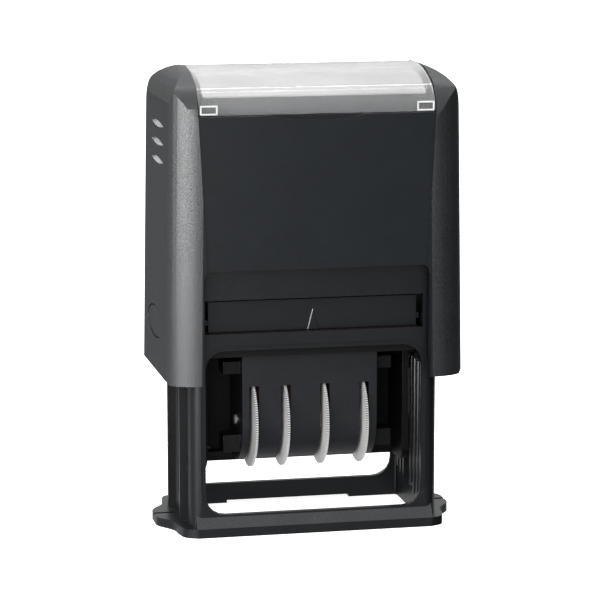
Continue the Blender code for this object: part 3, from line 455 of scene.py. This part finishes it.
def make_cover():
    """The clear cover, the card under it, and the cover's four moulded clip frames."""
    cover = roof_sheet("clear_cover", 0.0, COVER_WALL, COVER_LOW.z, COVER_HIGH.x, [CLEAR, CLEAR_EDGE_HIGHLIGHT])
    # the cover's rounded edges are painted white as a highlight
    rounded(cover, 0.30, 3, "ANGLE").angle_limit = radians(50)
    settle(weighted(cover), "cover", "clear_plastic", "index_cover")
    card_foot = CARD_LOW.z + CARD_RAISED
    card = roof_sheet("index_card_sheet", CARD_INSET, CARD_WALL, card_foot, CARD_HIGH.x, [CARD])
    settle(weighted(card), "casing", "card", "index_card")
    bm = bmesh.new()
    low, high = COVER_LOW.z + CLIP_LOW, COVER_LOW.z + CLIP_HIGH
    for side in (-1, 1):
        x0, x1 = span(side, COVER_HIGH.x - CLIP_INNER, COVER_HIGH.x - CLIP_OUTER)
        for front in (-1, 1):
            y0, y1 = span(front, FACE_Y - CLIP_SUNK, FACE_Y + CLIP_PROUD)
            for start, end in (
                ((x0, y0, low), (x1, y1, low + CLIP_WIRE)),
                ((x0, y0, high - CLIP_WIRE), (x1, y1, high)),
                ((x0, y0, low), (x0 + CLIP_WIRE, y1, high)),
                ((x1 - CLIP_WIRE, y0, low), (x1, y1, high)),
            ):
                bar(bm, start, end, round_mm=0.12)
    # the clip frames are painted white as a highlight
    clips = piece_from("cover_clips", bm, [CLEAR_EDGE_HIGHLIGHT])
    settle(clips, "cover", "clear_plastic")


# ---------------------------------------------------------------- wheels, spring, plates
def make_wheel(name):
    """A thin disc with a finely cut rim, on the drum that its band runs over."""
    low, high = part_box(f"{name}_wheel")
    centre = Vector((0.0, (low.y + high.y) / 2, (low.z + high.z) / 2))
    root = (high.y - low.y) / 2 - TOOTH_HEIGHT
    disc_left = name in ("month", "day_tens")
    middle = low.x + DISC_INSET if disc_left else high.x - DISC_INSET
    left, right = middle - DISC_HALF, middle + DISC_HALF
    bm = bmesh.new()
    spun_ring(bm, [
        (left, BORE_RADIUS), (left, root - RIM_FALL), (left + RIM_DRAFT, root),
        (right - RIM_DRAFT, root), (right, root - RIM_FALL), (right, BORE_RADIUS),
    ], centre, 2 * TEETH)
    bmesh.ops.recalc_face_normals(bm, faces=bm.faces)
    at_rim = root - 0.05 * MM
    rim = [face for face in bm.faces if hypot(*(face.calc_center_median() - centre).yz) > at_rim]
    rim.sort(key=lambda face: atan2(*(face.calc_center_median() - centre).yz))
    # every other face round the rim is a root between teeth, painted grey as shade
    for face in rim[1::2]:
        face.material_index = 1
    bmesh.ops.inset_individual(bm, faces=rim[::2], thickness=TOOTH_TAPER, depth=TOOTH_HEIGHT)
    drum_start = len(bm.faces)
    x0, x1 = (right, high.x) if disc_left else (low.x, left)
    drum = [(x0, BORE_RADIUS), (x0, DRUM_RADIUS), (x1, DRUM_RADIUS), (x1, BORE_RADIUS)]
    spun_ring(bm, drum, centre, DRUM_STEPS)
    bm.faces.ensure_lookup_table()
    bmesh.ops.recalc_face_normals(bm, faces=bm.faces[drum_start:])
    wheel = piece_from(f"{name}_wheel_toothed", bm, [WHITE_POM, POM_ROOT_SHADE], smooth_angle=28)
    settle(wheel, f"{name}_wheel", "wheel_plastic", f"{name}_wheel")


def make_band(name):
    band = refined(f"{name}_band", f"{name}_band_finished", [RED_RUBBER], edge_mm=0.05)
    settle(band, "print_unit", "band_rubber", f"{name}_band")


def make_spring():
    """A coil of round wire with closed ends."""
    wire_radius, wire_sides = 0.45 * MM, 10
    turns, steps_a_turn = 8, 28
    low, high = SPRING_LOW.z + wire_radius, SPRING_HIGH.z - wire_radius
    end_rise = 2 * wire_radius + 0.1 * MM
    first = Matrix.Translation((SPRING_HIGH.x - wire_radius, 0, low)) @ Matrix.Rotation(pi / 2, 4, "X")
    bm = bmesh.new()
    bmesh.ops.create_circle(bm, segments=wire_sides, radius=wire_radius, matrix=first)
    geometry = list(bm.verts) + list(bm.edges)
    for coils, rise in ((1, end_rise), (turns - 2, high - low - 2 * end_rise), (1, end_rise)):
        steps = coils * steps_a_turn
        run = bmesh.ops.spin(bm, geom=geometry, cent=(0, 0, 0), axis=(0, 0, 1), dvec=(0, 0, rise / steps),
                             angle=2 * pi * coils, steps=steps)
        geometry = run["geom_last"]
    bmesh.ops.holes_fill(bm, edges=[edge for edge in bm.edges if edge.is_boundary])
    bmesh.ops.recalc_face_normals(bm, faces=bm.faces)
    spring = piece_from("coil_spring", bm, [STEEL], smooth_angle=50)
    settle(spring, "frame", "spring_steel", "return_spring")
    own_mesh(spring)


def make_text_plate():
    """The rubber plate, with a raised border line and generic raised bars in place of lettering."""
    plate = refined("text_plate", "rubber_plate", [RED_RUBBER], edge_mm=0.05)
    settle(plate, "print_unit", "stamp_rubber", "text_plate")
    border, line, row_wide = 0.8 * MM, 0.4 * MM, 0.9 * MM
    half_x, half_y = PLATE_HIGH.x - border, PLATE_HIGH.y - border
    low, high = PLATE_HIGH.z - 0.5 * MM, PLATE_HIGH.z - 0.01 * MM
    bm = bmesh.new()
    for side in (-1, 1):
        x0, x1 = span(side, half_x - line, half_x)
        y0, y1 = span(side, half_y - line, half_y)
        bar(bm, (x0, -half_y, low), (x1, half_y, high), round_mm=0.08)
        bar(bm, (-half_x, y0, low), (half_x, y1, high), round_mm=0.08)
        for row, share in ((5.2 * MM, 0.62), (7.4 * MM, 0.78), (9.2 * MM, 0.5)):
            y0, y1 = span(side, row, row + row_wide)
            bar(bm, (-half_x * share, y0, low), (half_x * share, y1, high), round_mm=0.1)
    lines = piece_from("raised_lines", bm, [RED_RUBBER])
    settle(lines, "print_unit", "stamp_rubber")


def hood_paint(face):
    """0: the hood round the wheels, 1: its end blocks, painted dark as shade."""
    return 1 if abs(face.calc_center_median().x) > END_BLOCK_X else 0


def make_hood():
    """The hood, and the small rounded stop at the print unit's lower left."""
    hood = refined("wheel_hood", "wheel_hood_finished", [HOOD_ABS, INNER_SHADE_ABS, FRAME_ABS], paint=hood_paint)
    settle(hood, "print_unit", "hood_plastic", "wheel_hood")
    bm = bmesh.new()
    bar(bm, STOP_LOW, STOP_HIGH, round_mm=0.5)
    # the stop is painted lighter as a highlight
    stop = piece_from("unit_stop", bm, [FRAME_EDGE_HIGHLIGHT])
    settle(stop, "print_unit", "frame_plastic")


# ---------------------------------------------------------------- frame and drawer
def frame_paint(face):
    """0: fine grain, 1: smoother slopes that face upwards, painted lighter as a highlight."""
    return 1 if 0.35 < face.normal.z < 0.95 else 0


def make_frame():
    """The frame, its centre ticks on both sills, and the guide ribs inside the legs."""
    shell = refined("base_frame", "base_frame_finished", [FRAME_ABS, FRAME_EDGE_HIGHLIGHT], edge_mm=0.16,
                    paint=frame_paint)
    settle(shell, "frame", "frame_plastic", "base_frame")
    bm = bmesh.new()
    on_slope = Matrix.Translation((0, TICK_Y, TICK_Z)) @ Matrix.Rotation(TICK_LEAN, 4, "X")
    for turn in (0.0, pi):
        bar(bm, (-TICK_HALF_X, -TICK_HALF_Y, 0), (TICK_HALF_X, TICK_HALF_Y, TICK_LONG), round_mm=0.05,
            place=Matrix.Rotation(turn, 4, "Z") @ on_slope)
    for side in (-1, 1):
        x0, x1 = span(side, RIB_INNER_X, RIB_OUTER_X)
        for front, foot, wide in RIBS:
            bar(bm, (x0, front * MM, foot * MM), (x1, (front + wide) * MM, RIB_TOP), round_mm=0.22)
    # the ticks and ribs are painted lighter as a highlight
    marks = piece_from("frame_ribs_and_ticks", bm, [FRAME_EDGE_HIGHLIGHT])
    settle(marks, "frame", "frame_plastic")


def lowered_face(bm):
    """The drawer's face sits on the lower lip of its opening, with the arrow down at its edge."""
    rim = 0.5 * MM
    for vert in bm.verts:
        if vert.co.y < TRAY_LOW.y + DRAWER_FACE:
            in_arrow = abs(vert.co.x) < ARROW_HALF and TRAY_LOW.z + rim < vert.co.z < TRAY_HIGH.z - rim
            vert.co.z -= ARROW_DROP if in_arrow else FACE_DROP


def make_drawer():
    """The drawer, its rounded edges in painted shade, and the slanting edge of the arrow on its face, painted
    bright as a highlight.
    """
    drawer = refined("ink_pad_tray", "drawer_finished", [FRAME_ABS, INNER_SHADE_ABS], edge_mm=0.05,
                     shape=lowered_face)
    settle(drawer, "ink_drawer", "drawer_plastic", "ink_pad_tray")
    half_wide, long = 0.09 * MM, 4.4 * MM
    proud, sunk = 0.03 * MM, 0.2 * MM
    foot = Matrix.Translation((-1.1 * MM, 0, TRAY_LOW.z - 0.2 * MM))
    bm = bmesh.new()
    bar(bm, (-half_wide, TRAY_LOW.y - proud, 0), (half_wide, TRAY_LOW.y + sunk, long), round_mm=0.05,
        place=foot @ Matrix.Rotation(ARROW_EDGE_LEAN, 4, "Y"))
    edge = piece_from("drawer_arrow_edge", bm, [HIGHLIGHT_MARK])
    settle(edge, "ink_drawer", "drawer_plastic")


# ---------------------------------------------------------------- the stamp
make_camera()
make_studio()

# Each surface is named for what it is made of and how, and some also for the highlight or shade painted into
# them. Two tones are followed by the roughness and by the grain's width and depth in millimetres. The
# spark-eroded grain of moulded ABS is some 0.1 mm wide, too fine to show, so grains are drawn 0.2 to 0.5 mm
# wide.

# black ABS, moulded with a fine grain: a dull black that turns grey where the light grazes it
FRAME_ABS = grained("black_abs_fine_grain", "#0f1316", "#14181b", 0.36, 0.26, 0.008, gloss=0.24)
# the same ABS, left smoother by the mould, painted lighter as a highlight on edges, upward slopes and small
# raised parts: thin lighter lines
FRAME_EDGE_HIGHLIGHT = grained("black_abs_painted_highlight", "#26292c", "#2d3033", 0.30, 0.26, 0.003, gloss=0.40)
# the hood's ABS: a shade lighter and bluer than the frame, with the same fine grain
HOOD_ABS = grained("black_abs_hood", "#1a1c21", "#202227", 0.40, 0.30, 0.008, gloss=0.22)
# ABS deep inside, the hood's end blocks and the drawer's rounded edges: painted shade where little light gets
# in, nearly flat black
INNER_SHADE_ABS = grained("black_abs_painted_shade", "#060708", "#090a0b", 0.50, 0.30, 0.006, gloss=0.12)
# charcoal ABS of the shoulders, moulded with a coarse grain: it glitters where light grazes it
GRAINED = grained("charcoal_abs_grained", "#181b1d", "#1e2124", 0.45, 0.26, 0.034, gloss=0.50, spread=0.12)
# the same ABS, moulded nearly smooth on the panel and the sides: an even satin
PANEL = grained("charcoal_abs_panel", "#181d21", "#1b2024", 0.38, 0.24, 0.004, gloss=0.17)
# rounded edges of the casing and the buttons, smoother, and painted lighter as a highlight: thin grey lines
CASING_EDGE_HIGHLIGHT = grained("charcoal_abs_painted_highlight", "#2f3336", "#373b3e", 0.28, 0.28, 0.003, gloss=0.5)
# the leaf marks and the drawer's arrow edge, painted pale as a highlight: the brightest spots on the dark
# shell
HIGHLIGHT_MARK = grained("leaf_marks_painted_highlight", "#b4b8bb", "#c8cbcd", 0.30, 0.30, 0.002, gloss=0.6)
# white acetal, moulded: a clean white with a soft, waxy gloss
WHITE_POM = grained("white_acetal", "#ededec", "#f6f6f5", 0.42, 0.40, 0.006, gloss=0.4)
# the roots between the acetal teeth, painted grey as shade where little light gets in, so the teeth stand out
POM_ROOT_SHADE = grained("acetal_roots_painted_shade", "#77797a", "#828485", 0.60, 0.40, 0.004, gloss=0.2)
# vulcanised rubber, stained by ink: a dull dark red
RED_RUBBER = grained("red_stamp_rubber", "#5a1d18", "#6b2720", 0.70, 0.30, 0.010)
# drawn steel wire of the spring and the axle, out of sight inside: plain light grey with a sharp gloss
STEEL = grained("drawn_steel_wire", "#9a9b9d", "#b4b5b7", 0.30, 0.20, 0.002, gloss=0.8)
# felt soaked with ink: blue-black and dull, with the tufts of the fibres
FELT = grained("inked_felt_pad", "#0d0d14", "#15151d", 0.90, 0.35, 0.060)
# closed-cell polyethylene foam: dull beige with small cells
FOAM = grained("polyethylene_foam", "#8d8674", "#a09a88", 0.85, 0.30, 0.020)
# rounded edges and clip frames of clear polystyrene, painted white as a highlight where light that entered
# the sheet leaves there
CLEAR_EDGE_HIGHLIGHT = grained("clear_polystyrene_painted_highlight", "#fafafa", "#ffffff", 0.20, 0.50, 0.002, gloss=0.6)
CLEAR = clear_styrene()
CARD = card_stock()

make_casing()
make_cover()
for wheel in WHEELS:
    make_wheel(wheel)
make_spring()
make_text_plate()
make_frame()
make_hood()
make_drawer()

# the other CAD nodes keep their shape, with rounded edges of a width in millimetres
for node, materials, body, slot, edge_mm in (
    # rounded edges of the yoke, the buttons and the former are painted lighter as a highlight; the die
    # carrier is painted nearly black as shade
    ("drive_yoke", [FRAME_ABS, FRAME_EDGE_HIGHLIGHT], "casing", "frame_plastic", 0.10),
    ("ink_pad_felt", [FELT], "ink_drawer", "inked_felt", 0.10),
    ("lock_button_left", [PANEL, CASING_EDGE_HIGHLIGHT], "left_button", "casing_plastic", 0.15),
    ("lock_button_right", [PANEL, CASING_EDGE_HIGHLIGHT], "right_button", "casing_plastic", 0.15),
    ("die_carrier", [INNER_SHADE_ABS, FRAME_ABS], "print_unit", "frame_plastic", 0.12),
    ("wheel_axle", [STEEL], "print_unit", "spring_steel", 0.10),
    ("band_former", [HOOD_ABS, FRAME_EDGE_HIGHLIGHT], "print_unit", "frame_plastic", 0.10),
    ("plate_cushion", [FOAM], "print_unit", "foam", 0.05),
):
    settle(refined(node, f"{node}_finished", materials, edge_mm), body, slot, node)
for wheel in WHEELS:
    make_band(wheel)
